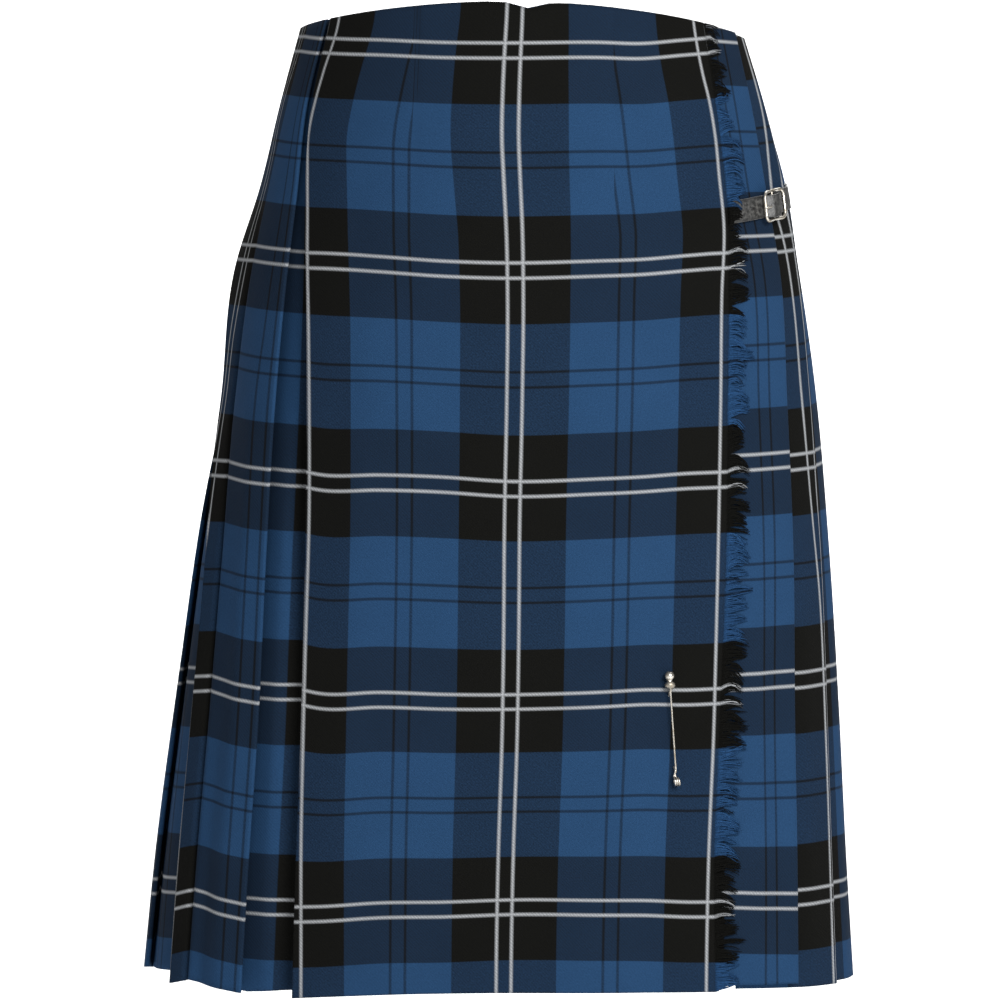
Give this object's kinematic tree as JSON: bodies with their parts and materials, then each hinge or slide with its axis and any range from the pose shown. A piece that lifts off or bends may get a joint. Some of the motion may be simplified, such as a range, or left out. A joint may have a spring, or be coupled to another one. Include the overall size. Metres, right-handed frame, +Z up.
{
  "type": "kilt",
  "caption": "Knee-length tartan wool kilt in its worn hollow form: crossed flat aprons, knife pleats round the back, fringed edge, leather hip strap with buckle, and kilt pin.",
  "frame": {"origin": "centre of the waist on the kilt's middle axis, level with the top of the left side's fold: where the wearer's waist holds it", "axes": "+Z up along the wearer's body, the wearer faces -Y, +X is the wearer's left, where the fringed edge and the buckle lie"},
  "size_m": [0.4393, 0.3191, 0.6083],
  "materials": {
    "tartan_wool": "matt twill-woven worsted wool in a blue, black and white check",
    "wool_yarn": "loose matt wool threads",
    "black_leather": "smooth, slightly shiny strap leather",
    "brown_leather": "plain dark leather",
    "silver": "polished silver-coloured metal"
  },
  "bodies": {
    "root": {"over_apron": "tartan_wool", "under_apron": "tartan_wool", "pleated_length": "tartan_wool", "apron_fringe": "wool_yarn", "strap": "black_leather", "buckle_chape": "brown_leather", "buckle_frame": "silver", "buckle_prong": "silver", "kilt_pin": "silver"}
  },
  "joints": []
}
